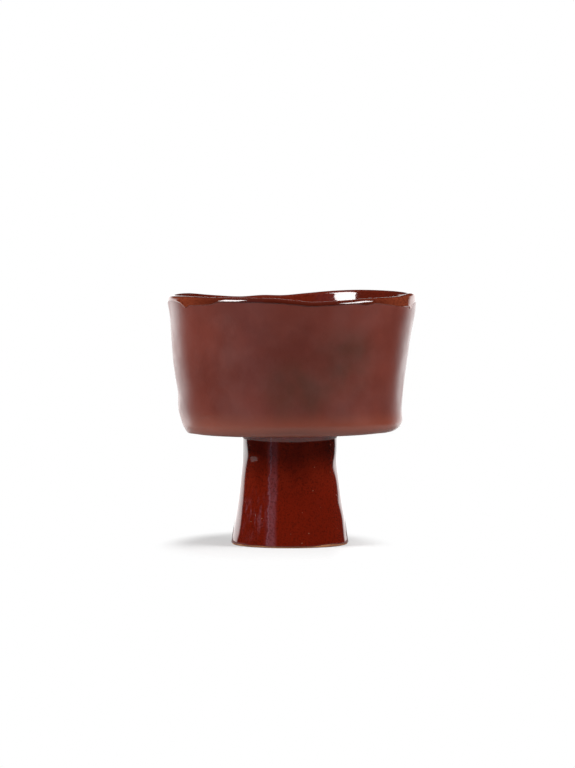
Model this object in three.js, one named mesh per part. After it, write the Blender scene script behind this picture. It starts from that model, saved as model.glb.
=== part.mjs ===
// A pedestal serving bowl in stoneware, built by hand from separate pieces of clay that are luted
// together, then glazed in two finishes. It has no moving parts.
// Millimetres, +Z up, with the table at z = 0 and the origin under the middle of the rim.
// A turn angle starts at the front (-Y) and runs anticlockwise seen from above, so +X is at 90 degrees.
import * as THREE from "three";

// Pedestal
const pedestalHeight = 106.5; // table to the bowl's underside
const footRadius = 56.5; // outside, at the bottom edge of the glaze
const neckRadius = 45.8; // outside, along the straight neck
const neckLength = 24.5; // straight part, down from the bowl's underside
const flareEase = 0.2; // share of the flare over which it eases into its two ends
const pedestalWall = 8; // thickness of the clay
const footEdge = 2; // rounding of the foot's outer bottom edge
const bareFoot = 1.5; // height of the clay left unglazed above the table
const footOffset = 1.6; // the pedestal stands this far left of the rim's middle

// Bowl
const bowlHeight = 132.5; // underside to the lip's mean crown
const baseRadius = 107.3; // outside, just above the bottom corner
const baseCorner = 12; // radius of the outside bottom corner
const waistSpread = 0.9; // the wall has widened this much where it starts to flare
const waistHeight = 38; // above the underside
const waistSoftness = 18; // the wall bends over this length each side of the waist
const rimRadius = 120; // outside, just under the lip
const lipThickness = 6.8; // over the glaze
const wallThickness = 8; // over the glaze, from the base radius in to the hollow
const innerCorner = 13; // radius of the hollow between floor and wall
const floorThickness = 9; // over the glaze
const slabInset = 1; // the floor slab stops this far inside the flat of the underside
const tilt = 0.5; // degrees by which the bowl rises to the right on its pedestal

// Luting
const jointFillet = 6; // radius of the glazed hollow under the bowl, around the neck
const lutingCoil = 9; // radius of the hollow pressed into the coil inside the neck
const coilEdge = 0.8; // a coil is pressed out to this thickness at its edges
const seam = 0.3; // clearance between pieces of clay that meet

// Glaze
const coat = 0.7; // thickness of a coat
const bond = 0.3; // clearance between a coat and the clay under it
const bareUnder = 3; // the pedestal's glaze stops this far short of the bottom corner
const bareCorner = 4.4; // the wall's glaze starts this far round the bottom corner

// Height of the hand-cut lip above its mean crown, as [turn angle, height], ending where it starts.
const lipWave = [
  [0, -0.9], [10, -2.9], [25, -1.9], [40, -0.5], [60, 0.3], [75, 2.5], [100, 1.3],
  [125, 2.6], [145, 3.1], [160, 2], [172, 0], [184, -2], [194, -1.6], [206, -2.6],
  [222, -0.5], [240, 2.2], [270, 1.8], [300, 2.1], [322, 1.5], [350, 0.9], [360, -0.9],
];

// How far the liner glaze has run down the outside below the rounded lip, ending where it starts.
const glazeRuns = [
  [0, 0.9], [30, 0.7], [36, 2.6], [42, 1.7], [54, 4.6], [62, 6.6], [72, 11], [80, 4.6],
  [110, 2.6], [130, 5.6], [150, 1.6], [185, 0.9], [210, 4.6], [235, 1.6], [262, 3.6],
  [285, 0.7], [292, 0.8], [302, 7], [308, 4.6], [320, 3], [326, 0.8], [345, 0.7], [360, 0.9],
];

const stepsRound = 60;
const bendStep = 30; // degrees that a profile bends in one step
const fewestSteps = 3; // along a bend too slack for that rule

const clayDepth = coat + bond; // from the glazed surface down to the clay
const underside = pedestalHeight;
const clayUnderside = underside + clayDepth;
const floorTop = underside + floorThickness;
const clayFloor = floorTop - clayDepth;
const crown = underside + bowlHeight;
const waist = underside + waistHeight;
const waistRadius = baseRadius + waistSpread;
const innerRadius = baseRadius - wallThickness;
const neckTop = underside - jointFillet;
const clayNeck = neckRadius - clayDepth;
const clayInner = innerRadius + clayDepth;
const boreRadius = clayNeck - pedestalWall;

// A rounding takes at most this share of the straight wall that it has to fit in.
const mostRounded = 0.8;
const outsideCorner = Math.min(baseCorner, mostRounded * waistHeight);
const insideCorner = Math.min(innerCorner, mostRounded * (waist - floorTop));
const slabRadius = Math.min(clayInner, baseRadius - outsideCorner) - slabInset;

const radians = THREE.MathUtils.degToRad;
const point = (radius, height) => new THREE.Vector2(radius, height);

// The point that lies a given distance from one point on the way to another.
function onTheWay(from, to, distance) {
  return to.clone().sub(from).setLength(distance).add(from);
}

// A smooth closed curve through stations given as [turn angle, value].
function aroundTheBowl(stations) {
  const angles = stations.map(([angle]) => angle);
  const values = stations.map(([, value]) => value);
  const curve = new THREE.CubicInterpolant(angles, values, 1);
  curve.settings = {
    endingStart: THREE.WrapAroundEnding,
    endingEnd: THREE.WrapAroundEnding,
  };
  return (turn) => curve.evaluate(turn)[0];
}

const lipHeight = aroundTheBowl(lipWave);
const glazeRun = aroundTheBowl(glazeRuns);

// The skin is the profile of the finished surface, as one path: from the foot up the pedestal, out
// under the bowl, up its wall, over the lip and down the inside to the middle of the floor.
// Clay always lies to the left of it. Marks hold the distances along it where something changes.
const skin = new THREE.Path();
const marks = {};
const mark = (name) => {
  marks[name] = skin.getLength();
};

function pedestalSkin() {
  const foot = point(footRadius, bareFoot);
  const flareTop = point(neckRadius, underside - neckLength);
  const footHandle = foot.clone().lerp(flareTop, flareEase);
  const neckHandle = point(neckRadius, THREE.MathUtils.lerp(flareTop.y, foot.y, flareEase));
  skin.moveTo(foot.x, foot.y);
  skin.bezierCurveTo(footHandle.x, footHandle.y, neckHandle.x, neckHandle.y, flareTop.x, flareTop.y);
  skin.lineTo(neckRadius, neckTop);
  mark("neckTop");
  skin.absarc(neckRadius + jointFillet, neckTop, jointFillet, Math.PI, Math.PI / 2, true);
}

function outsideSkin() {
  const cornerCentre = point(baseRadius - outsideCorner, underside + outsideCorner);
  const lowLean = Math.atan2(waistRadius - baseRadius, waist - cornerCentre.y);
  skin.lineTo(cornerCentre.x, underside);
  mark("corner");
  skin.absarc(cornerCentre.x, cornerCentre.y, outsideCorner, -Math.PI / 2, -lowLean, false);
  const bend = point(waistRadius, waist);
  const flare = point(rimRadius, crown - lipThickness / 2);
  const room = bend.distanceTo(skin.currentPoint);
  const below = onTheWay(bend, skin.currentPoint, Math.min(waistSoftness, mostRounded * room));
  const above = onTheWay(bend, flare, waistSoftness);
  skin.lineTo(below.x, below.y);
  skin.quadraticCurveTo(bend.x, bend.y, above.x, above.y);
  mark("flare");
}

function lipAndInsideSkin() {
  const lip = lipThickness / 2;
  const lipCentre = point(rimRadius - lip, crown - lip);
  const outerLean = Math.atan2(rimRadius - waistRadius, lipCentre.y - waist);
  const innerLean = Math.atan2(lipCentre.x - lip - innerRadius, lipCentre.y - waist);
  skin.lineTo(lipCentre.x + lip * Math.cos(outerLean), lipCentre.y - lip * Math.sin(outerLean));
  mark("lip");
  skin.absarc(lipCentre.x, lipCentre.y, lip, -outerLean, Math.PI - innerLean, false);
  const bend = point(innerRadius, waist);
  const above = onTheWay(bend, skin.currentPoint, waistSoftness);
  const cornerCentre = point(innerRadius - insideCorner, floorTop + insideCorner);
  const below = Math.min(waistSoftness, mostRounded * (waist - cornerCentre.y));
  skin.lineTo(above.x, above.y);
  skin.quadraticCurveTo(bend.x, bend.y, innerRadius, waist - below);
  skin.lineTo(innerRadius, cornerCentre.y);
  mark("innerCorner");
  skin.absarc(cornerCentre.x, cornerCentre.y, insideCorner, 0, -Math.PI / 2, true);
  skin.lineTo(0, floorTop);
  mark("middle");
}

pedestalSkin();
outsideSkin();
lipAndInsideSkin();
const skinLength = skin.getLength();

// A point a given depth under the skin, at a distance along it.
function under(distance, depth) {
  const share = distance / skinLength;
  const onSkin = skin.getPoint(share);
  const along = skin.getTangent(share);
  return point(Math.max(0, onSkin.x - along.y * depth), onSkin.y + along.x * depth);
}

// How many straight steps stand in for one curve of the skin.
function stepsAlong(curve) {
  if (curve.isLineCurve) return 1;
  const bend = curve.getTangent(0).angleTo(curve.getTangent(1));
  return Math.max(Math.round(THREE.MathUtils.radToDeg(bend) / bendStep), fewestSteps);
}

// The distances between two marks at which every profile has a point, so that coats and clay
// keep the same facets and stay parallel.
function stops(from, to) {
  const ends = skin.getCurveLengths();
  const inside = skin.curves.flatMap((curve, index) => {
    const start = index === 0 ? 0 : ends[index - 1];
    const steps = stepsAlong(curve);
    return Array.from({ length: steps }, (_, k) => start + ((ends[index] - start) * k) / steps);
  });
  const clear = seam; // leaves out a stop that is almost at an end
  return [from, ...inside.filter((d) => d > from + clear && d < to - clear), to];
}

// The handmade form. Every piece is bent by it alike, so neighbours stay as far apart as they were.
// The lip's wave and the offset of the rim die out at the waist, and the tilt along the neck.
function formed(radius, height, turn) {
  const x = radius * Math.sin(radians(turn));
  const y = -radius * Math.cos(radians(turn));
  const aboveWaist = THREE.MathUtils.clamp((height - waist) / (crown - waist), 0, 1);
  const aboveNeck = THREE.MathUtils.clamp(1 - (underside - height) / neckLength, 0, 1);
  const rise = lipHeight(turn) * aboveWaist + x * Math.tan(radians(tilt)) * aboveNeck;
  return [x - footOffset * (1 - aboveWaist), y, height + rise];
}

// Makes a profile run anticlockwise, so that faces point out, and closes it unless the axis does.
function closed(profile) {
  const outline = THREE.ShapeUtils.area(profile) < 0 ? profile.slice().reverse() : profile.slice();
  const onAxis = outline[0].x === 0 && outline.at(-1).x === 0;
  return onAxis ? outline : [...outline, outline[0]];
}

// One piece: a turned solid whose profile may change with the turn angle, bent to the handmade form.
function piece(name, finish, profileAt) {
  const geometry = new THREE.LatheGeometry(closed(profileAt(0)), stepsRound);
  const position = geometry.getAttribute("position");
  for (let step = 0; step <= stepsRound; step++) {
    const turn = ((step % stepsRound) * 360) / stepsRound;
    const outline = closed(profileAt(turn));
    outline.forEach(({ x, y }, k) => {
      position.setXYZ(step * outline.length + k, ...formed(x, y, turn));
    });
  }
  geometry.computeVertexNormals();
  const mesh = new THREE.Mesh(geometry, finish.clone());
  mesh.name = name;
  return mesh;
}

const rawClay = new THREE.MeshStandardMaterial({ color: "#a9784f", roughness: 0.9, metalness: 0 });
const glossGlaze = new THREE.MeshStandardMaterial({ color: "#6a1c10", roughness: 0.06, metalness: 0 });
const satinGlaze = new THREE.MeshStandardMaterial({ color: "#73392f", roughness: 0.38, metalness: 0 });

// The round floor of the bowl, rolled flat.
function floorSlab() {
  const outline = [
    point(0, clayUnderside),
    point(slabRadius, clayUnderside),
    point(slabRadius, clayFloor),
    point(0, clayFloor),
  ];
  return piece("floor_slab", rawClay, () => outline);
}

// The wall, which stands round the slab on an inward foot and ends in the rounded lip.
function bowlWall() {
  const outline = [
    point(slabRadius + seam, clayFloor),
    point(slabRadius + seam, clayUnderside),
    ...stops(marks.corner, marks.innerCorner).map((distance) => under(distance, clayDepth)),
    point(clayInner, clayFloor),
  ];
  return piece("bowl_wall", rawClay, () => outline);
}

// The pedestal, a flared tube that is open below and bare inside.
function pedestal() {
  const outside = stops(0, marks.neckTop).map((distance) => under(distance, clayDepth));
  const bore = outside.map(({ x, y }) => point(x - pedestalWall, y)).reverse();
  const foot = outside[0];
  const edge = new THREE.EllipseCurve(
    foot.x - footEdge, foot.y, footEdge, foot.y, -Math.PI / 2, 0);
  const top = clayUnderside - seam;
  const outline = [
    point(foot.x - pedestalWall, 0),
    ...edge.getPoints(2).slice(0, -1),
    ...outside,
    point(clayNeck, top),
    point(boreRadius, top),
    ...bore.slice(0, -1),
  ];
  return piece("pedestal", rawClay, () => outline);
}

// A coil of clay pressed into the corner between two pieces, with a hollow face.
// It opens from the corner towards (toRadius, toHeight), each of them +1 or -1.
function cornerCoil(name, corner, toRadius, toHeight, hollow) {
  const place = (fromWall, fromLedge) =>
    point(corner.x + toRadius * fromWall, corner.y + toHeight * fromLedge);
  const edgeAngle = Math.acos(1 - (seam + coilEdge) / hollow);
  const leg = hollow * (1 - Math.sin(edgeAngle));
  const face = new THREE.EllipseCurve(
    hollow, hollow, hollow, hollow, 1.5 * Math.PI - edgeAngle, Math.PI + edgeAngle, true);
  const outline = [
    place(seam, seam),
    place(leg, seam),
    ...face.getPoints(2).map(({ x, y }) => place(x, y)),
    place(seam, leg),
  ];
  return piece(name, rawClay, () => outline);
}

// A coat of glaze over a stretch of the skin, given as distances that may change with the turn angle.
function glazeCoat(name, finish, stretchAt) {
  return piece(name, finish, (turn) => {
    const stretch = stretchAt(turn);
    const face = stretch.map((distance) => under(distance, 0));
    const back = stretch.map((distance) => under(distance, coat)).reverse();
    return [...face, ...back];
  });
}

const footStops = stops(0, marks.corner - bareUnder);
const wallStops = stops(marks.corner + bareCorner, marks.flare);
const linerStops = stops(marks.lip, marks.middle);

const clay = new THREE.Group();
clay.add(
  pedestal(),
  cornerCoil("outer_luting_fillet", point(clayNeck, clayUnderside), 1, -1, jointFillet + clayDepth),
  cornerCoil("inner_luting_coil", point(boreRadius, clayUnderside), -1, -1, lutingCoil),
  floorSlab(),
  bowlWall(),
  cornerCoil("wall_seam_coil", point(clayInner, clayFloor), -1, 1, insideCorner + clayDepth),
);

const glaze = new THREE.Group();
glaze.add(
  glazeCoat("foot_glaze", glossGlaze, () => footStops),
  glazeCoat("wall_glaze", satinGlaze, (turn) => [...wallStops, marks.lip - glazeRun(turn) - seam]),
  glazeCoat("liner_glaze", glossGlaze, (turn) => [marks.lip - glazeRun(turn), ...linerStops]),
);

const servingBowl = new THREE.Group();
servingBowl.name = "serving_bowl";
servingBowl.add(clay, glaze);

export default servingBowl;
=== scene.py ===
"""A hand-built stoneware serving bowl on a pedestal, dressed with its clay and its glazes.

Metres, +Z up, with the table at z = 0. A turn angle starts at the front (-Y) and runs anticlockwise
seen from above, so +X is at 90 degrees.
"""
import bisect
import math

import bmesh
import bpy
from bpy.props import FloatProperty, FloatVectorProperty, PointerProperty
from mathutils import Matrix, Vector, noise


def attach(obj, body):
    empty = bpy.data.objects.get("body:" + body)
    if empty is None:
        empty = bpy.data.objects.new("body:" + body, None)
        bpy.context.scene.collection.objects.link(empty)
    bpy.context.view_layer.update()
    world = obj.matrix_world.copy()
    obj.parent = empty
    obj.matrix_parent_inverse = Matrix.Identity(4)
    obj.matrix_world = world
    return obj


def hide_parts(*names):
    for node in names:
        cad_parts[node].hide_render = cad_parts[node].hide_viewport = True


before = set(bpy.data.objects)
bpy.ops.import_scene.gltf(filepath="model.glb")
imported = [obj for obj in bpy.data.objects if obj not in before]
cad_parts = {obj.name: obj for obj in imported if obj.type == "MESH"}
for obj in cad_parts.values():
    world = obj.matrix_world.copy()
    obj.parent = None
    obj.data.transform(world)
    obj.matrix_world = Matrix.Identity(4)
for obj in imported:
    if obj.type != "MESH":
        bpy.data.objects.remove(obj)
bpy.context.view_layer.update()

bl_info = {
    "name": "Pedestal serving bowl",
    "version": (1, 0, 0),
    "blender": (4, 5, 0),
    "location": "3D View > Sidebar > Bowl",
    "description": "Clay and glazes of a hand-built serving bowl on a pedestal",
    "category": "Object",
}

MM = 0.001
STEPS_ROUND = 320
WIDEST_ROW = 3 * MM
FINEST_ROW = 0.35 * MM
ROW_TURN = math.radians(7)

# The uneven handmade surface: how long its waves are and how deep.
UNEVEN = (70 * MM, 0.5 * MM)
RIPPLE = (16 * MM, 0.06 * MM)
PEDESTAL_RIPPLE = (26 * MM, 0.55 * MM)

# The camera: metres, millimetres of lens, and degrees that it looks down.
CAMERA_PLACE = (-0.0039, -4.2, 0.345)
CAMERA_LENS = 204.67
CAMERA_DIP = 2.602

# The paper floor keeps its shadow inside an oval and is pure white beyond it.
PAPER_RADIUS = 0.45
SHADOW_SHIFT = (0.015, 0.03, 0)
SHADOW_SQUASH = (1, 0.55, 0)
SHADOW_FADE = (0.08, 0.118)

# Reflections find a white wall whose middle is this far to the right of straight behind the bowl,
# and which fades between these angles on each side. A pale window stands to the camera's left.
BACKDROP_BEARING = -4
BACKDROP_FADE = (48, 40)
WINDOW_BEARING = 40

# The liner glaze pales this near to the crest, and the painted shade and sheen of its band outside fade in
# this far below the lip.
LIP_BREAK = 2.6 * MM
BAND_DEPTH = (24 * MM, 20 * MM)

# The underside rises between these radii.
BASE_EDGE = (54 * MM, 92 * MM)

# Height of the hand-cut lip above its mean crown, as (turn angle, millimetres).
LIP_WAVE = [
    (0, -0.9), (10, -2.9), (25, -1.9), (40, -0.5), (60, 0.3), (75, 2.5), (100, 1.3),
    (125, 2.6), (145, 3.1), (160, 2), (172, 0), (184, -2), (194, -1.6), (206, -2.6),
    (222, -0.5), (240, 2.2), (270, 1.8), (300, 2.1), (322, 1.5), (350, 0.9),
]

# How far the liner glaze has run down the outside below the rounded lip, in millimetres.
GLAZE_RUNS = [
    (0, 0.9), (30, 0.7), (36, 2.6), (42, 1.7), (54, 4.6), (62, 6.6), (69, 8), (72, 11),
    (75, 7), (80, 4.6), (110, 2.6), (130, 5.6), (150, 1.6), (185, 0.9), (210, 4.6), (235, 1.6),
    (262, 3.6), (285, 0.7), (292, 0.8), (298, 3), (302, 7), (306, 4.8), (320, 3.2), (325, 1),
    (345, 0.7),
]

# Where hands pushed the clay in or out: turn angle, height, how far, how wide in degrees, how high.
WALL_BENDS = [
    (270, 147, -1.0, 40, 9),
    (270, 176, 0.8, 50, 14),
    (270, 219, -0.9, 45, 12),
    (90, 221, 1.3, 45, 16),
]
CORNER_BENDS = [
    (270, 113, -3.8, 60, 12),
    (90, 117, 1.1, 55, 9),
]

PEDESTAL_BENDS = [
    (310, 90, 1.7, 14, 9),
    (308, 24, 1.3, 15, 15),
    (52, 74, 1.2, 13, 9),
    (54, 42, 1.0, 13, 8),
]


def linear(code):
    """An sRGB hex colour as linear RGBA."""
    channels = [int(code[k:k + 2], 16) / 255 for k in (1, 3, 5)]
    return [c / 12.92 if c <= 0.04045 else ((c + 0.055) / 1.055) ** 2.4 for c in channels] + [1.0]


def length(name, description, default):
    return FloatProperty(name=name, description=description, default=default * MM, unit="LENGTH")


def colour(name, description, code):
    return FloatVectorProperty(
        name=name, description=description, default=linear(code), size=4, subtype="COLOR",
        min=0, max=1)


class BowlSizes(bpy.types.PropertyGroup):
    """The bowl's driving sizes."""

    pedestal_height: length("Pedestal height", "Table to the bowl's underside", 106.5)
    foot_radius: length("Foot radius", "Outside, at the bottom edge of the glaze", 56.5)
    neck_radius: length("Neck radius", "Outside, along the straight neck", 45.8)
    neck_length: length("Neck length", "Straight part below the bowl", 24.5)
    pedestal_wall: length("Pedestal wall", "Thickness of the clay tube", 8)
    foot_edge: length("Foot edge", "Rounding of the foot's bottom edge", 2)
    bare_foot: length("Bare foot", "Height left unglazed above the table", 1.5)
    foot_offset: length("Foot offset", "The pedestal stands this far left of the rim", 1.6)
    bowl_height: length("Bowl height", "Underside to the lip's mean crown", 132.5)
    base_radius: length("Base radius", "Outside, just above the bottom corner", 107.3)
    base_corner: length("Base corner", "Radius of the outside bottom corner", 12)
    waist_radius: length("Waist radius", "Outside, where the wall starts to flare", 108.2)
    waist_height: length("Waist height", "Above the underside", 38)
    waist_softness: length("Waist softness", "The wall bends over this length each side", 18)
    rim_radius: length("Rim radius", "Outside, just under the lip", 120)
    lip_thickness: length("Lip thickness", "Over the glaze", 6.8)
    wall_thickness: length("Wall thickness", "From the base radius in to the hollow", 8)
    inner_corner: length("Inner corner", "Hollow between floor and wall", 13)
    floor_thickness: length("Floor thickness", "Over the glaze", 9)
    slab_inset: length("Slab inset", "The floor slab stops this far inside the flat base", 1)
    joint_fillet: length("Joint fillet", "Glazed hollow under the bowl, round the neck", 6)
    luting_coil: length("Luting coil", "Hollow pressed into the coil inside the neck", 9)
    seam: length("Seam", "Clearance between pieces of clay that meet", 0.3)
    coat: length("Coat", "Thickness of a coat of glaze", 0.7)
    clay_depth: length("Clay depth", "From the glazed surface down to the fired clay", 0.72)
    bare_under: length("Bare underside", "Unglazed ring inside the bottom corner", 3)
    bare_corner: length("Bare corner", "Unglazed start of the bottom corner", 4.4)
    bead: length("Bead", "How proud the liner glaze stands where its runs stop", 0.42)
    edge_lift: length("Edge lift", "The underside rises this far towards its edge", 1.3)
    inner_roll: length("Inner roll", "How proud the wall stands just inside the lip", 0.5)
    tilt: FloatProperty(
        name="Tilt", description="The bowl rises to the right on its pedestal",
        default=math.radians(0.5), subtype="ANGLE")


class BowlColours(bpy.types.PropertyGroup):
    """The colours of the clay and of the glazes, with painted shade, painted sheen and painted reflection.
    """

    clay: colour("Clay", "Fired stoneware", "#a8714a")
    clay_dark: colour("Clay shade", "Where the clay took more flame", "#8a5636")
    gloss: colour("Gloss glaze", "Iron red of the liner and the pedestal", "#731d0b")
    # This deep colour also paints shade on the pedestal's glaze towards the foot.
    gloss_deep_and_shade: colour("Deep gloss", "Where the gloss glaze is thick, and painted shade low on the pedestal", "#5a1104")
    gloss_thin: colour("Thin gloss", "Where the gloss glaze breaks over an edge", "#6a2815")
    # Painted shade on the front of the gloss band below the lip, and painted sheen on the same band away
    # from the front.
    front_band_shade: colour("Front band", "Painted shade on the gloss band below the lip, at the front", "#3c1006")
    side_band_sheen: colour("Side band", "Painted sheen on the same band, away from the front", "#70321e")
    # This pale milky colour paints reflections on the pedestal: a run down its front, smears beside it and
    # a pool at the joint.
    milky_reflection: colour("Milky reflection", "Pale milky colour painted as reflections on the pedestal", "#6a3c42")
    satin: colour("Satin glaze", "Iron brown of the wall", "#652e25")
    satin_shade: colour("Satin shade", "Cooler patches of the wall", "#5a271f")
    upper_inside: colour("Upper inside", "The gloss glaze in the shade just inside the lip", "#45180e")
    # Two darker greenish blotches on the front of the wall.
    satin_blotch: colour("Blotches", "Two greenish dark blotches on the front of the wall", "#40291e")
    satin_low: colour("Low satin", "The redder turn of the wall towards its base", "#85432f")
    grog: colour("Grog", "Dark grains in the bare clay", "#4f3120")
    iron: colour("Iron specks", "Dark specks in the satin glaze", "#3a1a12")
    freckle: colour("Freckles", "Fine dark freckles in the gloss glaze", "#3a0a03")
    pinhole: colour("Pinholes", "Pale pits in the gloss glaze", "#b98a70")


def smooth_step(low, high, value):
    share = min(max((value - low) / (high - low), 0), 1)
    return share * share * (3 - 2 * share)


def round_the_bowl(stations):
    """A smooth closed curve through (turn angle, value) stations."""
    angles = [angle for angle, _ in stations]
    known = {}

    def station(index):
        lap, place = divmod(index, len(stations))
        return angles[place] + 360 * lap, stations[place][1]

    def value_at(turn):
        turn = round(turn % 360, 3)
        if turn not in known:
            first = bisect.bisect_right(angles, turn) - 1
            (a0, v0), (a1, v1), (a2, v2), (a3, v3) = [station(first + k) for k in (-1, 0, 1, 2)]
            span = a2 - a1
            share = (turn - a1) / span
            leaving = (v2 - v0) / (a2 - a0) * span
            arriving = (v3 - v1) / (a3 - a1) * span
            square, cube = share ** 2, share ** 3
            known[turn] = MM * (
                (2 * cube - 3 * square + 1) * v1 + (cube - 2 * square + share) * leaving
                + (3 * square - 2 * cube) * v2 + (cube - square) * arriving)
        return known[turn]

    return value_at


class Skin:
    """The profile of the finished surface, from the foot up the pedestal, out under the bowl, up
    its wall, over the lip and down the inside to the middle. Clay lies to the left of it."""

    def __init__(self, sizes):
        self.points = []
        self.lengths = [0.0]
        self.marks = {}
        self.pedestal(sizes)
        self.outside(sizes)
        self.lip_and_inside(sizes)
        self.directions = [
            (self.points[min(k + 1, len(self.points) - 1)] - self.points[max(k - 1, 0)]).normalized()
            for k in range(len(self.points))
        ]

    def go(self, point):
        if self.points:
            step = (point - self.points[-1]).length
            if step < 1e-7:
                return
            self.lengths.append(self.lengths[-1] + step)
        self.points.append(point)

    def line(self, end):
        start = self.points[-1]
        count = max(2, round((end - start).length / MM))
        for k in range(1, count + 1):
            self.go(start.lerp(end, k / count))

    def arc(self, centre, radius, start, end):
        count = max(12, round(abs(end - start) * 24))
        for k in range(count + 1):
            angle = start + (end - start) * k / count
            self.go(centre + radius * Vector((math.cos(angle), math.sin(angle))))

    def curve(self, start, handle, other_handle, end):
        count = 40
        for k in range(count + 1):
            t = k / count
            self.go(
                start * (1 - t) ** 3 + handle * 3 * t * (1 - t) ** 2
                + other_handle * 3 * t ** 2 * (1 - t) + end * t ** 3)

    def soft_bend(self, start, bend, end):
        self.curve(start, start.lerp(bend, 2 / 3), end.lerp(bend, 2 / 3), end)

    def mark(self, name):
        self.marks[name] = self.lengths[-1]

    def pedestal(self, s):
        flare_ease = 0.2
        foot = Vector((s.foot_radius, s.bare_foot))
        flare_top = Vector((s.neck_radius, s.pedestal_height - s.neck_length))
        neck_handle = Vector((s.neck_radius, flare_top.y + (foot.y - flare_top.y) * flare_ease))
        self.curve(foot, foot.lerp(flare_top, flare_ease), neck_handle, flare_top)
        neck_top = s.pedestal_height - s.joint_fillet
        self.line(Vector((s.neck_radius, neck_top)))
        self.mark("neck_top")
        centre = Vector((s.neck_radius + s.joint_fillet, neck_top))
        self.arc(centre, s.joint_fillet, math.pi, math.pi / 2)

    def outside(self, s):
        waist = s.pedestal_height + s.waist_height
        crown = s.pedestal_height + s.bowl_height
        centre = Vector((s.base_radius - s.base_corner, s.pedestal_height + s.base_corner))
        lean = math.atan2(s.waist_radius - s.base_radius, waist - centre.y)
        self.line(Vector((centre.x, s.pedestal_height)))
        self.mark("corner")
        self.arc(centre, s.base_corner, -math.pi / 2, -lean)
        bend = Vector((s.waist_radius, waist))
        flare = Vector((s.rim_radius, crown - s.lip_thickness / 2))
        below = bend + (self.points[-1] - bend).normalized() * s.waist_softness
        above = bend + (flare - bend).normalized() * s.waist_softness
        self.line(below)
        self.soft_bend(below, bend, above)

    def lip_and_inside(self, s):
        lip = s.lip_thickness / 2
        waist = s.pedestal_height + s.waist_height
        floor_top = s.pedestal_height + s.floor_thickness
        inner_radius = s.base_radius - s.wall_thickness
        centre = Vector((s.rim_radius - lip, s.pedestal_height + s.bowl_height - lip))
        outer_lean = math.atan2(s.rim_radius - s.waist_radius, centre.y - waist)
        inner_lean = math.atan2(centre.x - lip - inner_radius, centre.y - waist)
        self.line(centre + lip * Vector((math.cos(outer_lean), -math.sin(outer_lean))))
        self.mark("lip")
        self.arc(centre, lip, -outer_lean, math.pi - inner_lean)
        self.mark("inside")
        bend = Vector((inner_radius, waist))
        above = bend + (self.points[-1] - bend).normalized() * s.waist_softness
        corner = Vector((inner_radius - s.inner_corner, floor_top + s.inner_corner))
        below = Vector((inner_radius, waist - 0.8 * (waist - corner.y)))
        self.line(above)
        self.soft_bend(above, bend, below)
        self.line(Vector((inner_radius, corner.y)))
        self.mark("inner_corner")
        self.arc(corner, s.inner_corner, 0, -math.pi / 2)
        self.line(Vector((0, floor_top)))
        self.mark("middle")

    def place(self, distance):
        """The point and the direction at a distance along the skin."""
        k = min(max(bisect.bisect_right(self.lengths, distance) - 1, 0), len(self.points) - 2)
        share = (distance - self.lengths[k]) / (self.lengths[k + 1] - self.lengths[k])
        point = self.points[k].lerp(self.points[k + 1], share)
        return point, self.directions[k].lerp(self.directions[k + 1], share).normalized()

    def under(self, distance, depth):
        """The radius and height of a point a given depth under the skin."""
        point, along = self.place(distance)
        return max(0.0, point.x - along.y * depth), point.y + along.x * depth

    def rows(self, start, end):
        """Distances from start to end, closer together where the skin bends."""
        probe = 0.5 * MM
        distances = [start]
        while distances[-1] < end - FINEST_ROW:
            here = distances[-1]
            bend = self.place(here)[1].angle(self.place(here + probe)[1], 0) / probe
            step = ROW_TURN / bend if bend > 0 else WIDEST_ROW
            distances.append(min(here + min(max(step, FINEST_ROW), WIDEST_ROW), end))
        distances[-1] = end
        return distances


class Form:
    """The handmade form that every piece of the bowl is bent to."""

    def __init__(self, sizes):
        self.s = sizes
        self.skin = Skin(sizes)
        self.lip_height = round_the_bowl(LIP_WAVE)
        self.glaze_run = round_the_bowl(GLAZE_RUNS)
        self.waist = sizes.pedestal_height + sizes.waist_height
        self.crown = sizes.pedestal_height + sizes.bowl_height

    @staticmethod
    def pushed(bends, turn, height):
        total = 0.0
        for at, level, depth, spread, reach in bends:
            if abs(height / MM - level) > 2.5 * reach:
                continue
            off = (turn - at + 180) % 360 - 180
            total += depth * MM * math.exp(-(off / spread) ** 2 - ((height / MM - level) / reach) ** 2)
        return total

    @staticmethod
    def wave(place, size_and_depth, offset=(0, 0, 0)):
        size, depth = size_and_depth
        return noise.noise(place / size + Vector(offset)) * depth

    def point(self, radius, height, turn, outside):
        """A point of the turned shape, moved to where the potter's hands left it."""
        s = self.s
        above_waist = min(max((height - self.waist) / (self.crown - self.waist), 0), 1)
        above_neck = min(max(1 - (s.pedestal_height - height) / s.neck_length, 0), 1)
        angle = math.radians(turn)
        out = Vector((math.sin(angle), -math.cos(angle), 0))
        place = out * radius + Vector((0, 0, height))
        off_axis = smooth_step(20 * MM, 40 * MM, radius)
        off_table = smooth_step(2 * MM, 14 * MM, height)
        bowl_part = smooth_step(70 * MM, 96 * MM, radius)
        uneven = self.wave(place, UNEVEN, (3.1, 7.7, 1.3)) * (0.4 + 0.6 * bowl_part)
        ripple = self.wave(place, RIPPLE)
        ripple += self.wave(place, PEDESTAL_RIPPLE, (9.2, 0.4, 5.5)) * (1 - bowl_part)
        push = (uneven + ripple) * off_table * off_axis
        if height > 130 * MM:
            push += self.pushed(WALL_BENDS, turn, height)
        elif height < s.pedestal_height:
            push += self.pushed(PEDESTAL_BENDS, turn, height) * off_axis
        if outside:
            corner_part = smooth_step(95 * MM, 105 * MM, radius)
            push += self.pushed(CORNER_BENDS, turn, height) * corner_part
        place += out * push
        rise = self.lip_height(turn) * above_waist + place.x * math.tan(s.tilt) * above_neck
        if outside:
            above_base = height - s.pedestal_height
            near_base = 1 - smooth_step(4 * MM, 40 * MM, above_base)
            rise += s.edge_lift * near_base * smooth_step(*BASE_EDGE, radius)
        return place + Vector((-s.foot_offset * (1 - above_waist), 0, rise))


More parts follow.
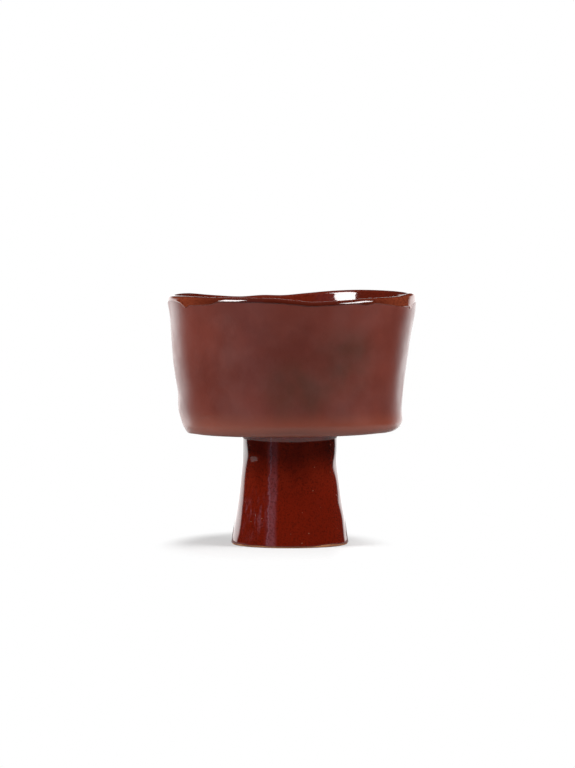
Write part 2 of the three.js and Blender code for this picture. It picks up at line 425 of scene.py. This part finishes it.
def turned_piece(form, name, rows, place=None):
    """Spins a closed profile once round and bends every vertex to the handmade form. A row is
    (distance along the skin, depth under it), or (None, (radius, height)) off the skin. The mesh
    keeps how near a vertex is to the crest of the lip, and whether it is in the band outside."""
    bm = bmesh.new()
    along = bm.verts.layers.float.new("along")
    deep = bm.verts.layers.float.new("deep")
    thin = bm.verts.layers.float.new("thin")
    outer = bm.verts.layers.float.new("outer")
    off_skin = -1.0
    profile = []
    for distance, depth in rows:
        radius, height = depth if distance is None else form.skin.under(distance, depth)
        vert = bm.verts.new((radius, 0, height))
        vert[along] = off_skin if distance is None else distance
        vert[deep] = 0 if distance is None else depth
        profile.append(vert)
    edges = [bm.edges.new(pair) for pair in zip(profile, profile[1:])]
    if profile[0].co.x > 0 or profile[-1].co.x > 0:
        edges.append(bm.edges.new((profile[-1], profile[0])))
    bmesh.ops.spin(
        bm, geom=profile + edges, cent=(0, 0, 0), axis=(0, 0, 1), dvec=(0, 0, 0),
        angle=math.tau, steps=STEPS_ROUND, use_merge=True)
    lip = form.skin.marks["lip"]
    crest = (lip + form.skin.marks["inside"]) / 2
    for vert in bm.verts:
        radius, height = math.hypot(vert.co.x, vert.co.y), vert.co.z
        turn = math.degrees(math.atan2(vert.co.x, -vert.co.y)) % 360
        distance = vert[along]
        outside = 0 <= distance < crest
        if distance >= 0:
            depth = vert[deep]
            moved = place(distance, depth, turn) if place else (distance, depth)
            if moved != (distance, depth):
                distance, depth = moved
                radius, height = form.skin.under(distance, depth)
            vert[thin] = math.exp(-((distance - crest) / LIP_BREAK) ** 2)
            over_lip = 1 - smooth_step(crest - 3 * MM, crest, distance)
            vert[outer] = over_lip * smooth_step(lip - BAND_DEPTH[0], lip - BAND_DEPTH[1], distance)
        vert.co = form.point(radius, height, turn, outside)
    bmesh.ops.remove_doubles(bm, verts=bm.verts, dist=0.002 * MM)
    bmesh.ops.recalc_face_normals(bm, faces=bm.faces)
    mesh = bpy.data.meshes.new(name)
    for face in bm.faces:
        face.smooth = True
    bm.to_mesh(mesh)
    bm.free()
    piece = bpy.data.objects.new(name, mesh)
    bpy.context.scene.collection.objects.link(piece)
    return piece


def coat_rows(form, start, end, coat, edge=0.6 * MM):
    """The closed profile of a coat of glaze with rounded edges, face first and then back."""
    turns = [math.radians(angle) for angle in (0, 25, 50, 75)]
    opening = [(start + edge * (1 - math.cos(a)), coat * (1 - math.sin(a))) for a in turns]
    closing = [(end - edge * (1 - math.cos(a)), coat * (1 - math.sin(a))) for a in turns]
    face = [(distance, 0) for distance in form.skin.rows(start + edge, end - edge)]
    back = [(distance, coat) for distance, _ in face[::-4]]
    return opening + face + closing[::-1] + back


def add_node(tree, kind, settings=None, inputs=None):
    """Adds a node with its settings, and its inputs as values or as links from other sockets."""
    node = tree.nodes.new(kind)
    for name, value in (settings or {}).items():
        setattr(node, name, value)
    for name, value in (inputs or {}).items():
        if isinstance(value, bpy.types.NodeSocket):
            tree.links.new(value, node.inputs[name])
        else:
            node.inputs[name].default_value = value
    return node


def cloud(tree, vector, size, detail=2.0, roughness=0.5):
    """A soft noise whose blobs measure about the given size."""
    inputs = {"Vector": vector, "Scale": 1 / size, "Detail": detail, "Roughness": roughness}
    return add_node(tree, "ShaderNodeTexNoise", inputs=inputs).outputs[0]


def ramp(tree, value, low, high, bottom=0.0, top=1.0):
    """A soft step from bottom to top as the value goes from low to high."""
    inputs = {"Value": value, "From Min": low, "From Max": high, "To Min": bottom, "To Max": top}
    return add_node(
        tree, "ShaderNodeMapRange", {"interpolation_type": "SMOOTHSTEP"}, inputs).outputs[0]


def blended(tree, share, first, second):
    """The first colour where the share is 0 and the second where it is 1."""
    return add_node(
        tree, "ShaderNodeMix", {"data_type": "RGBA"}, {0: share, 6: first, 7: second}).outputs[2]


def maths(tree, operation, first, second):
    return add_node(tree, "ShaderNodeMath", {"operation": operation}, {0: first, 1: second}).outputs[0]


def specks(tree, vector, spacing, size, chance):
    """Round specks on a jittered grid, of which only some show."""
    cells = add_node(tree, "ShaderNodeTexVoronoi", inputs={"Vector": vector, "Scale": 1 / spacing})
    round_speck = ramp(tree, cells.outputs["Distance"], size / spacing, 0.4 * size / spacing)
    lottery = add_node(tree, "ShaderNodeSeparateColor", inputs={0: cells.outputs["Color"]}).outputs[0]
    return maths(tree, "MULTIPLY", round_speck, ramp(tree, lottery, 1 - chance, 1.02 - chance))


def spot(tree, vector, centre, radius):
    """One soft round place on the surface."""
    distance = add_node(
        tree, "ShaderNodeVectorMath", {"operation": "DISTANCE"}, {0: vector, 1: centre})
    return ramp(tree, distance.outputs["Value"], radius, 0.25 * radius)


def new_material(name):
    material = bpy.data.materials.new(name)
    material.use_nodes = True
    tree = material.node_tree
    tree.nodes.clear()
    return material, tree, add_node(tree, "ShaderNodeTexCoord").outputs["Object"]


def finish_surface(tree, settings, height=None, strength=0.3, distance=0.2 * MM):
    """Puts the shader and its output on a material, with a bump if there is a height."""
    if height is not None:
        bump = add_node(
            tree, "ShaderNodeBump",
            inputs={"Strength": strength, "Distance": distance, "Height": height})
        settings = {**settings, "Normal": bump.outputs[0]}
    shader = add_node(tree, "ShaderNodeBsdfPrincipled", inputs=settings)
    add_node(tree, "ShaderNodeOutputMaterial", inputs={"Surface": shader.outputs[0]})


def raw_stoneware(colours):
    """Stoneware fired without glaze: matte and dry, with dark grog and a fine tooth."""
    material, tree, place = new_material("raw_stoneware")
    patches = ramp(tree, cloud(tree, place, 30 * MM, 3), 0.35, 0.65)
    body = blended(tree, patches, list(colours.clay), list(colours.clay_dark))
    grog = specks(tree, place, 2.2 * MM, 0.45 * MM, 0.4)
    body = blended(tree, maths(tree, "MULTIPLY", grog, 0.6), body, list(colours.grog))
    tooth = cloud(tree, place, 0.9 * MM, 3, 0.7)
    finish_surface(tree, {"Base Color": body, "Roughness": 0.85}, tooth, 0.5, 0.25 * MM)
    return material


def satin_stoneware_glaze(colours):
    """A thin iron glaze with a silky face, so highlights are broad and it pales at the sides."""
    material, tree, place = new_material("satin_stoneware_glaze")
    patches = ramp(tree, cloud(tree, place, 45 * MM, 4, 0.6), 0.3, 0.7)
    body = blended(tree, patches, list(colours.satin), list(colours.satin_shade))
    # Two darker greenish blotches on the front of the wall, whose strength drifts with a cloud.
    blotch_cloud = cloud(tree, place, 30 * MM, 2, 0.5)
    for centre, radius, weight in (
            ((0.052, -0.098, 0.18), 0.045, 0.5), ((0.008, -0.108, 0.15), 0.045, 0.55)):
        drift = ramp(tree, blotch_cloud, 0.3, 0.65, 0.3 * weight, weight)
        mark = maths(tree, "MULTIPLY", spot(tree, place, centre, radius), drift)
        body = blended(tree, mark, body, list(colours.satin_blotch))
    up = add_node(tree, "ShaderNodeSeparateXYZ", inputs={0: place}).outputs[2]
    body = blended(tree, ramp(tree, up, 0.135, 0.108, 0, 0.7), body, list(colours.satin_low))
    iron = specks(tree, place, 5 * MM, 0.5 * MM, 0.3)
    body = blended(tree, maths(tree, "MULTIPLY", iron, 0.5), body, list(colours.iron))
    rough = ramp(tree, cloud(tree, place, 25 * MM, 3), 0.3, 0.7, 0.3, 0.4)
    skin = cloud(tree, place, 2.4 * MM, 3, 0.55)
    finish_surface(tree, {"Base Color": body, "Roughness": rough, "IOR": 1.5}, skin, 0.25, 0.12 * MM)
    return material


def gloss_stoneware_glaze(colours, name, pinholes, milky_reflection=None):
    """A thick iron-red glaze melted to glass: deep and wet, paler where it breaks over an edge. It carries
    painted shade low on the pedestal, near the lip's height and on the band's front, and painted sheen on
    the band's sides.
    """
    material, tree, place = new_material(name)
    hung = add_node(tree, "ShaderNodeMapping", inputs={"Vector": place, "Scale": (1, 1, 0.3)})
    pool = ramp(tree, cloud(tree, hung.outputs[0], 20 * MM, 5, 0.55), 0.25, 0.75)
    up = add_node(tree, "ShaderNodeSeparateXYZ", inputs={0: place}).outputs[2]
    # Painted shade: the glaze darkens towards the foot of the pedestal, besides the clouds where it lies
    # thick.
    pool = maths(tree, "MAXIMUM", pool, ramp(tree, up, 0.085, 0.045))
    body = blended(tree, pool, list(colours.gloss), list(colours.gloss_deep_and_shade))
    break_up = cloud(tree, place, 4 * MM, 3, 0.6)
    thin = add_node(tree, "ShaderNodeAttribute", {"attribute_name": "thin"}).outputs["Fac"]
    breaking = maths(tree, "MULTIPLY", thin, ramp(tree, break_up, 0.3, 0.7, 0.35, 0.9))
    body = blended(tree, breaking, body, list(colours.gloss_thin))
    body = blended(tree, ramp(tree, up, 0.195, 0.228, 0, 0.65), body, list(colours.upper_inside))
    outer = add_node(tree, "ShaderNodeAttribute", {"attribute_name": "outer"}).outputs["Fac"]
    sideways = add_node(tree, "ShaderNodeSeparateXYZ", inputs={0: place}).outputs[1]
    # Painted shade on the front of the band below the lip, and painted sheen away from the front.
    band = blended(
        tree, ramp(tree, sideways, -0.112, -0.06), list(colours.front_band_shade), list(colours.side_band_sheen))
    body = blended(tree, maths(tree, "MULTIPLY", outer, 0.8), body, band)
    # Painted reflection: the milky colour goes where the pedestal shows pale reflections.
    if milky_reflection:
        body = blended(tree, milky_reflection(tree, place), body, list(colours.milky_reflection))
    freckles = ramp(tree, cloud(tree, place, 1.8 * MM, 2, 0.6), 0.45, 0.7, 0, 0.6)
    body = blended(tree, freckles, body, list(colours.freckle))
    pits = specks(tree, place, 5.5 * MM, 0.45 * MM, pinholes)
    body = blended(tree, maths(tree, "MULTIPLY", pits, 0.7), body, list(colours.pinhole))
    orange_peel = cloud(tree, place, 7 * MM, 2, 0.5)
    height = maths(tree, "SUBTRACT", orange_peel, maths(tree, "MULTIPLY", pits, 0.8))
    rough = ramp(tree, break_up, 0.3, 0.7, 0.04, 0.09)
    finish_surface(tree, {"Base Color": body, "Roughness": rough, "IOR": 1.52}, height, 0.35, 0.25 * MM)
    return material


def product(tree, *shares):
    total = shares[0]
    for share in shares[1:]:
        total = maths(tree, "MULTIPLY", total, share)
    return total


def pale_reflection_marks(tree, place):
    """Pale milky marks that paint reflections on the pedestal: one clouded run down its front with a pale
    line in it, smears beside it, and the pool at the joint.
    """
    across, back, up = add_node(tree, "ShaderNodeSeparateXYZ", inputs={0: place}).outputs
    swing = maths(tree, "SUBTRACT", cloud(tree, place, 12 * MM, 3, 0.6), 0.5)
    wobble = maths(tree, "MULTIPLY", swing, 8 * MM)
    lean = maths(tree, "MULTIPLY", maths(tree, "SUBTRACT", 0.1, up), 0.04)
    along_run = maths(tree, "ADD", maths(tree, "ADD", across, wobble), lean)
    front = ramp(tree, back, 0.0, -0.02)

    left = ramp(tree, along_run, -0.0215, -0.0185)
    right = ramp(tree, along_run, -0.0105, -0.0145)
    clouded = ramp(tree, cloud(tree, place, 6 * MM, 4, 0.6), 0.25, 0.7, 0.3, 0.6)
    run = product(tree, left, right, front, clouded, ramp(tree, up, 0.095, 0.04, 0.35, 1))

    line_left = ramp(tree, along_run, -0.0202, -0.0194)
    line_right = ramp(tree, along_run, -0.018, -0.0188)
    pale_line = product(tree, line_left, line_right, front, 0.8)

    near_joint = maths(tree, "ADD", up, maths(tree, "MULTIPLY", wobble, 0.4))
    pool_cloud = ramp(tree, cloud(tree, place, 14 * MM, 2), 0.3, 0.6, 0.1, 0.35)
    pool = product(tree, ramp(tree, near_joint, 0.1025, 0.105), pool_cloud)

    drawn_out = add_node(tree, "ShaderNodeMapping", inputs={"Vector": place, "Scale": (1, 1, 0.25)})
    smear_cloud = ramp(tree, cloud(tree, drawn_out.outputs[0], 4 * MM, 3, 0.6), 0.45, 0.7, 0, 0.6)
    smears = product(tree, spot(tree, place, (-0.0385, -0.035, 0.03), 0.03), smear_cloud)

    marks = maths(tree, "MAXIMUM", maths(tree, "MAXIMUM", run, pool), smears)
    return maths(tree, "MAXIMUM", marks, pale_line)


def dress(piece, material, slot, *nodes):
    """Gives a piece its finish, its body and the nodes that it stands for. The slot is not used."""
    piece.data.materials.clear()
    piece.data.materials.append(material)
    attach(piece, "root")
    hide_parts(*nodes)


def material_named(name, make):
    return bpy.data.materials.get(name) or make()


def form_of(context):
    return Form(context.scene.bowl_sizes)


class BOWL_OT_clay_wall(bpy.types.Operator):
    """Turn the clay floor slab and the clay wall that stands round it"""

    bl_idname = "bowl.clay_wall"
    bl_label = "Clay floor and wall"

    def execute(self, context):
        form, s = form_of(context), context.scene.bowl_sizes
        skin = form.skin
        slab_radius = s.base_radius - s.base_corner - s.slab_inset + s.seam
        low = s.pedestal_height + s.coat + s.seam
        high = s.pedestal_height + s.floor_thickness - s.coat - s.seam
        lifted = s.pedestal_height + s.clay_depth + s.edge_lift
        rows = [(None, (slab_radius, high)), (None, (slab_radius, lifted))]
        rows += [(d, s.clay_depth) for d in skin.rows(skin.marks["corner"], skin.marks["inner_corner"])]
        rows.append((None, (s.base_radius - s.wall_thickness + s.clay_depth, high)))
        piece = turned_piece(form, "clay_wall", rows)
        material = material_named("raw_stoneware", lambda: raw_stoneware(context.scene.bowl_colours))
        dress(piece, material, "bare_clay", "bowl_wall")

        slab_edge = slab_radius - s.seam
        slab = [(0, high), (slab_edge, high), (slab_edge, lifted), (BASE_EDGE[0], low), (0, low)]
        piece = turned_piece(form, "clay_floor", [(None, point) for point in slab])
        dress(piece, material, "bare_clay", "floor_slab")
        return {"FINISHED"}


class BOWL_OT_clay_pedestal(bpy.types.Operator):
    """Turn the flared clay tube and the coil pressed into its top"""

    bl_idname = "bowl.clay_pedestal"
    bl_label = "Clay pedestal"

    def execute(self, context):
        form, s = form_of(context), context.scene.bowl_sizes
        skin = form.skin
        depth = s.clay_depth
        tube = [skin.under(d, depth) for d in skin.rows(0, skin.marks["neck_top"])]
        foot_radius, foot_height = tube[0]
        quarter = [math.radians(a) for a in range(-90, 0, 15)]
        edge = [
            (foot_radius - s.foot_edge * (1 - math.cos(a)), foot_height * (1 + math.sin(a)))
            for a in quarter
        ]
        top = s.pedestal_height + s.coat
        bore = [(radius - s.pedestal_wall, height) for radius, height in tube[::-1]]
        inner_edge = foot_radius - s.pedestal_wall
        profile = [(inner_edge + 0.8 * MM, 0)] + edge + tube
        profile += [(s.neck_radius - depth, top), (bore[0][0], top)] + bore[:-1]
        profile.append((inner_edge, 0.8 * MM))
        piece = turned_piece(form, "clay_pedestal", [(None, point) for point in profile])
        material = material_named("raw_stoneware", lambda: raw_stoneware(context.scene.bowl_colours))
        dress(piece, material, "bare_clay", "pedestal")

        corner_radius = bore[0][0]
        hollow = s.luting_coil
        angles = [math.radians(a) for a in range(84, -1, -6)]
        reach = hollow * 0.42
        face = [
            (corner_radius - s.seam - hollow * (1 - math.cos(a)), top - hollow * (1 - math.sin(a)))
            for a in angles if hollow * (1 - math.cos(a)) < hollow - 0.2 * reach
        ]
        coil = [(corner_radius - s.seam, top)] + face
        piece = turned_piece(form, "thumbed_coil", [(None, point) for point in coil])
        dress(piece, material, "bare_clay", "inner_luting_coil")
        return {"FINISHED"}


class BOWL_OT_wall_coat(bpy.types.Operator):
    """Lay the satin glaze on the outside of the wall"""

    bl_idname = "bowl.wall_coat"
    bl_label = "Satin wall glaze"

    def execute(self, context):
        form, s = form_of(context), context.scene.bowl_sizes
        marks = form.skin.marks
        start = marks["corner"] + s.bare_corner
        fade = 8 * MM

        def place(distance, depth, turn):
            at = math.radians(turn)
            wander = noise.noise(Vector((math.sin(at), math.cos(at), 0.4)) * 7) * 0.9 * MM
            return distance + wander * (1 - smooth_step(0, fade, distance - start)), depth

        rows = coat_rows(form, start, marks["lip"] + 1 * MM, s.coat)
        piece = turned_piece(form, "satin_wall_coat", rows, place)
        material = satin_stoneware_glaze(context.scene.bowl_colours)
        dress(piece, material, "satin_glaze", "wall_glaze")
        return {"FINISHED"}


class BOWL_OT_liner_coat(bpy.types.Operator):
    """Pour the gloss glaze into the bowl, over the lip and down the outside in runs"""

    bl_idname = "bowl.liner_coat"
    bl_label = "Gloss liner glaze"

    def execute(self, context):
        form, s = form_of(context), context.scene.bowl_sizes
        skin = form.skin
        lip = skin.marks["lip"]
        anchor = lip + 4 * MM
        usual_edge = lip - 5 * MM
        runs = 18

        def stands_proud(past_edge, distance):
            rounded = math.sqrt(max(0.0, 1 - (1 - min(past_edge / (0.7 * MM), 1)) ** 2))
            bead = 0.65 + 0.35 * math.exp(-((past_edge - 1.1 * MM) / (0.9 * MM)) ** 2)
            return s.bead * rounded * bead * (1 - smooth_step(lip - 1 * MM, anchor, distance))

        def place(distance, depth, turn):
            if distance >= anchor:
                past_lip = distance - skin.marks["inside"]
                roll = smooth_step(0, 6.5 * MM, past_lip) * (1 - smooth_step(6.5 * MM, 20 * MM, past_lip))
                return distance, depth - roll * s.inner_roll
            at = math.radians(turn)
            ragged = noise.noise(Vector((math.sin(at), math.cos(at), 2.7)) * 11) * 0.5 * MM
            edge = lip - form.glaze_run(turn) - ragged
            share = (distance - usual_edge) / (anchor - usual_edge)
            moved = edge + (anchor - edge) * share
            if depth > 0:
                return moved, 0.02 * MM + (depth - 0.02 * MM) * smooth_step(lip, anchor, moved)
            return moved, -stands_proud(moved - edge, moved)

        band = [usual_edge + (anchor - usual_edge) * (k / runs) ** 2 for k in range(runs)]
        inside = skin.rows(anchor, skin.marks["middle"])
        rows = [(distance, 0) for distance in band + inside]
        rows += [(distance, s.coat) for distance in (band + inside)[::-4]]
        piece = turned_piece(form, "gloss_liner_coat", rows, place)
        material = gloss_stoneware_glaze(context.scene.bowl_colours, "gloss_liner_glaze", 0.12)
        dress(piece, material, "gloss_glaze", "liner_glaze")
        return {"FINISHED"}


class BOWL_OT_foot_coat(bpy.types.Operator):
    """Lay the gloss glaze on the pedestal, the joint and the underside"""

    bl_idname = "bowl.foot_coat"
    bl_label = "Gloss foot glaze"

    def execute(self, context):
        form, s = form_of(context), context.scene.bowl_sizes
        marks = form.skin.marks
        fade = 7 * MM

        def place(distance, depth, turn):
            at = math.radians(turn)
            wander = noise.noise(Vector((math.sin(at), math.cos(at), 5.3)) * 4) * 0.7 * MM
            higher = 0.9 * MM * math.exp(-(((turn - 45 + 180) % 360 - 180) / 22) ** 2)
            lifted = max(0.0, wander + higher)
            return distance + lifted * (1 - smooth_step(0, fade, distance)), depth

        rows = coat_rows(form, 0, marks["corner"] - s.bare_under, s.coat)
        piece = turned_piece(form, "gloss_foot_coat", rows, place)
        material = gloss_stoneware_glaze(
            context.scene.bowl_colours, "gloss_foot_glaze", 0.3, pale_reflection_marks)
        dress(piece, material, "gloss_glaze", "foot_glaze")
        return {"FINISHED"}


class BOWL_OT_hidden_clay(bpy.types.Operator):
    """Finish the clay pieces that the coats and the wall close in"""

    bl_idname = "bowl.hidden_clay"
    bl_label = "Hidden clay"

    def execute(self, context):
        material = material_named("raw_stoneware", lambda: raw_stoneware(context.scene.bowl_colours))
        for name in ("wall_seam_coil", "outer_luting_fillet"):
            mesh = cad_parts[name].data
            mesh.materials.clear()
            mesh.materials.append(material)
        return {"FINISHED"}


def studio_floor():
    """A white paper floor that keeps the shadow and fades to pure white away from the bowl."""
    bm = bmesh.new()
    bmesh.ops.create_circle(bm, cap_ends=True, segments=96, radius=PAPER_RADIUS)
    mesh = bpy.data.meshes.new("paper_floor")
    bm.to_mesh(mesh)
    bm.free()
    floor = bpy.data.objects.new("paper_floor", mesh)
    bpy.context.scene.collection.objects.link(floor)
    material, tree, place = new_material("white_paper")
    shadow_middle = add_node(
        tree, "ShaderNodeVectorMath", {"operation": "ADD"}, {0: place, 1: SHADOW_SHIFT})
    flat = add_node(
        tree, "ShaderNodeVectorMath", {"operation": "MULTIPLY"},
        {0: shadow_middle.outputs[0], 1: SHADOW_SQUASH})
    away = add_node(
        tree, "ShaderNodeVectorMath", {"operation": "LENGTH"}, {0: flat.outputs[0]})
    far = ramp(tree, away.outputs["Value"], *SHADOW_FADE)
    paper = add_node(tree, "ShaderNodeBsdfDiffuse", inputs={"Color": (0.45, 0.45, 0.45, 1)})
    lit_paper = add_node(tree, "ShaderNodeBsdfDiffuse", inputs={"Color": (0.46, 0.46, 0.46, 1)})
    # Painted light: the paper glows more towards the right, which lightens the shadow on that side.
    rightward = add_node(tree, "ShaderNodeSeparateXYZ", inputs={0: place}).outputs[0]
    glow = add_node(
        tree, "ShaderNodeEmission", inputs={"Strength": ramp(tree, rightward, 0.03, 0.07, 0.235, 0.4)})
    near = add_node(tree, "ShaderNodeAddShader", inputs={0: lit_paper.outputs[0], 1: glow.outputs[0]})
    white = add_node(tree, "ShaderNodeEmission", inputs={"Strength": 1.0})
    seen = add_node(
        tree, "ShaderNodeMixShader", inputs={0: far, 1: near.outputs[0], 2: white.outputs[0]})
    rays = add_node(tree, "ShaderNodeLightPath")
    shown = maths(tree, "MAXIMUM", rays.outputs["Is Camera Ray"], rays.outputs["Is Transmission Ray"])
    mixed = add_node(
        tree, "ShaderNodeMixShader", inputs={0: shown, 1: paper.outputs[0], 2: seen.outputs[0]})
    add_node(tree, "ShaderNodeOutputMaterial", inputs={"Surface": mixed.outputs[0]})
    floor.data.materials.append(material)


def studio_world(scene):
    """White to the eye. Reflections find a white wall behind the bowl and a dim room elsewhere."""
    world = bpy.data.worlds.new("studio")
    scene.world = world
    world.use_nodes = True
    tree = world.node_tree
    tree.nodes.clear()
    direction = add_node(tree, "ShaderNodeTexCoord").outputs["Generated"]
    level = add_node(
        tree, "ShaderNodeVectorMath", {"operation": "MULTIPLY"}, {0: direction, 1: (1, 1, 0)})
    heading = add_node(
        tree, "ShaderNodeVectorMath", {"operation": "NORMALIZE"}, {0: level.outputs[0]})
    middle = math.radians(BACKDROP_BEARING)
    fade = [math.cos(math.radians(angle)) for angle in BACKDROP_FADE]
    backdrop = add_node(
        tree, "ShaderNodeVectorMath", {"operation": "DOT_PRODUCT"},
        {0: heading.outputs[0], 1: (math.sin(middle), math.cos(middle), 0)})
    behind = ramp(tree, backdrop.outputs["Value"], *fade)
    turn = math.radians(WINDOW_BEARING)
    window = add_node(
        tree, "ShaderNodeVectorMath", {"operation": "DOT_PRODUCT"},
        {0: heading.outputs[0], 1: (-math.sin(turn), -math.cos(turn), 0)})
    window_share = ramp(tree, window.outputs["Value"], 0.965, 0.985)
    room = blended(tree, window_share, (0.03, 0.028, 0.026, 1), (0.1, 0.12, 0.17, 1))
    up = add_node(tree, "ShaderNodeSeparateXYZ", inputs={0: direction}).outputs[2]
    room = blended(tree, ramp(tree, up, 0.6, 0.95), room, (0.1, 0.1, 0.1, 1))
    low_behind = maths(tree, "MULTIPLY", behind, ramp(tree, up, 0.3, 0.12))
    lit = blended(tree, low_behind, room, (2.2, 2.2, 2.2, 1))
    rays = add_node(tree, "ShaderNodeLightPath")
    seen = blended(tree, rays.outputs["Is Camera Ray"], lit, (1, 1, 1, 1))
    background = add_node(tree, "ShaderNodeBackground", inputs={"Color": seen, "Strength": 1.0})
    add_node(tree, "ShaderNodeOutputWorld", inputs={"Surface": background.outputs[0]})


def softbox(name, bearing, elevation, reach, width, height, radiance, mirrored=True):
    """A rectangular softbox aimed at the bowl. A bearing is a turn angle, in degrees."""
    aim = Vector((0, 0, 0.18))
    turn, rise = math.radians(bearing), math.radians(elevation)
    direction = Vector((math.sin(turn) * math.cos(rise), -math.cos(turn) * math.cos(rise), math.sin(rise)))
    light = bpy.data.lights.new(name, "AREA")
    light.shape = "RECTANGLE"
    light.size = width
    light.size_y = height
    light.energy = math.pi * width * height * radiance
    lamp = bpy.data.objects.new(name, light)
    lamp.location = aim + direction * reach
    lamp.rotation_euler = (-direction).to_track_quat("-Z", "Y").to_euler()
    lamp.visible_camera = False
    lamp.visible_glossy = mirrored
    bpy.context.scene.collection.objects.link(lamp)


class BOWL_OT_stage(bpy.types.Operator):
    """Set the floor, the lamps, the world and the camera"""

    bl_idname = "bowl.stage"
    bl_label = "Stage"

    def execute(self, context):
        scene = context.scene
        scene.view_settings.view_transform = "Standard"
        studio_floor()
        studio_world(scene)
        softbox(
            "left_softbox", bearing=-61, elevation=29, reach=1.3, width=0.46, height=0.7, radiance=23)
        softbox(
            "right_softbox", bearing=63, elevation=29, reach=1.3, width=0.62, height=0.6, radiance=20)
        softbox(
            "top_softbox", bearing=0, elevation=89.9, reach=1.25, width=1.0, height=1.0, radiance=1.0,
            mirrored=False)
        data = bpy.data.cameras.new("camera")
        data.lens = CAMERA_LENS
        camera = bpy.data.objects.new("camera", data)
        camera.location = CAMERA_PLACE
        camera.rotation_euler = (math.radians(90 - CAMERA_DIP), 0, 0)
        scene.collection.objects.link(camera)
        scene.camera = camera
        return {"FINISHED"}


class BOWL_PT_panel(bpy.types.Panel):
    """The bowl's sizes, colours and steps"""

    bl_idname = "BOWL_PT_panel"
    bl_label = "Pedestal serving bowl"
    bl_space_type = "VIEW_3D"
    bl_region_type = "UI"
    bl_category = "Bowl"

    def draw(self, context):
        for operator in OPERATORS:
            self.layout.operator(operator.bl_idname)
        for group in (context.scene.bowl_sizes, context.scene.bowl_colours):
            for name in group.__annotations__:
                self.layout.prop(group, name)


OPERATORS = (
    BOWL_OT_clay_wall,
    BOWL_OT_clay_pedestal,
    BOWL_OT_wall_coat,
    BOWL_OT_liner_coat,
    BOWL_OT_foot_coat,
    BOWL_OT_hidden_clay,
    BOWL_OT_stage,
)
CLASSES = (BowlSizes, BowlColours, *OPERATORS, BOWL_PT_panel)


def register():
    for each in CLASSES:
        bpy.utils.register_class(each)
    bpy.types.Scene.bowl_sizes = PointerProperty(type=BowlSizes)
    bpy.types.Scene.bowl_colours = PointerProperty(type=BowlColours)


def unregister():
    del bpy.types.Scene.bowl_sizes
    del bpy.types.Scene.bowl_colours
    for each in reversed(CLASSES):
        bpy.utils.unregister_class(each)


def main():
    register()
    bpy.ops.bowl.stage()
    bpy.ops.bowl.clay_wall()
    bpy.ops.bowl.clay_pedestal()
    bpy.ops.bowl.wall_coat()
    bpy.ops.bowl.liner_coat()
    bpy.ops.bowl.foot_coat()
    bpy.ops.bowl.hidden_clay()


if __name__ == "__main__":
    main()
